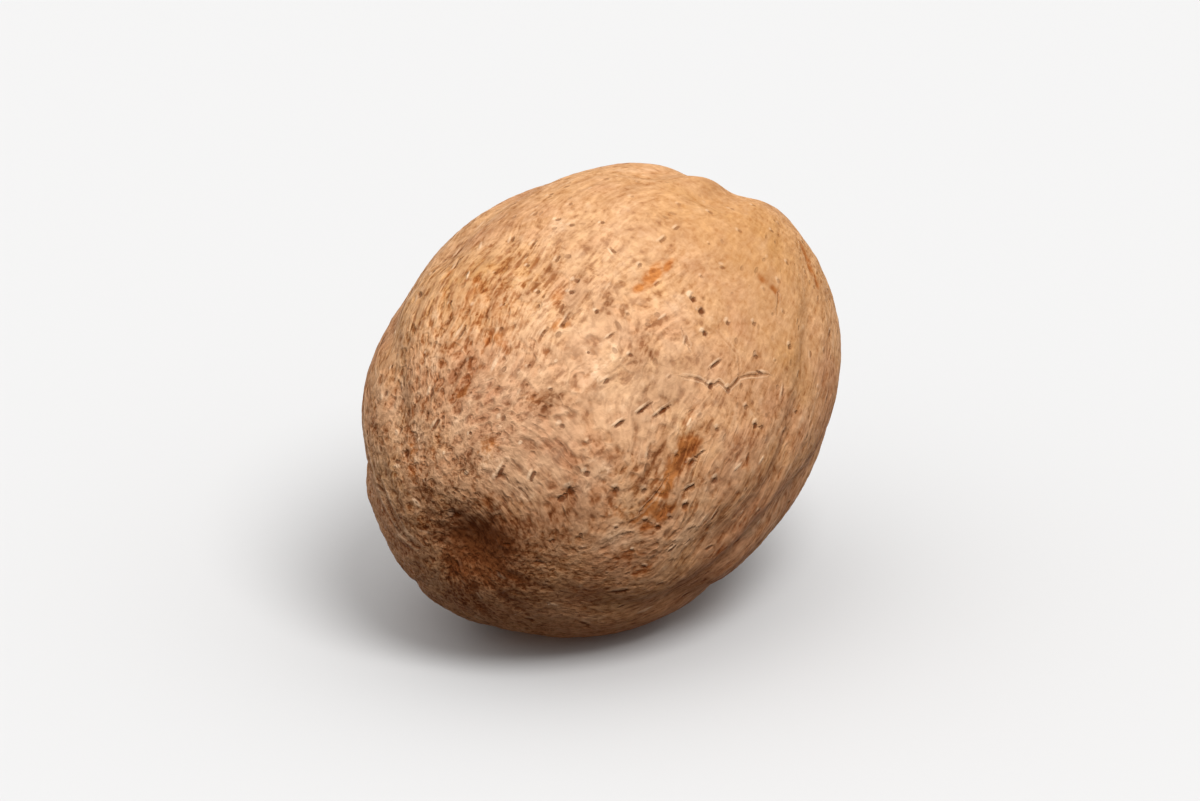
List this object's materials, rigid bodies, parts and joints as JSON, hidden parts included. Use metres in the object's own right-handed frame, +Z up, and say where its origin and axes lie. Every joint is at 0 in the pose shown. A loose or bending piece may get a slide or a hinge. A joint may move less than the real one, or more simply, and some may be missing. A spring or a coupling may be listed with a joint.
{
  "type": "whole nutmeg",
  "caption": "Dried, shelled nutmeg kernel: an egg-shaped seed with lengthwise furrows, a hilum pit at one end, lying on a small flat spot.",
  "frame": {"origin": "middle of the footprint, at the level of the flat spot the seed rests on", "axes": "+X along the seed's long side from the hilum end towards the chalaza, +Y to its left, +Z up from the surface it rests on"},
  "size_m": [0.0252, 0.0188, 0.0188],
  "materials": {
    "kernel": "dry, matt, woody seed surface: pale tan on the ridges, brown in the furrows, with fine dark streaks and pinholes"
  },
  "bodies": {
    "root": {"nutmeg": "kernel"}
  },
  "joints": []
}
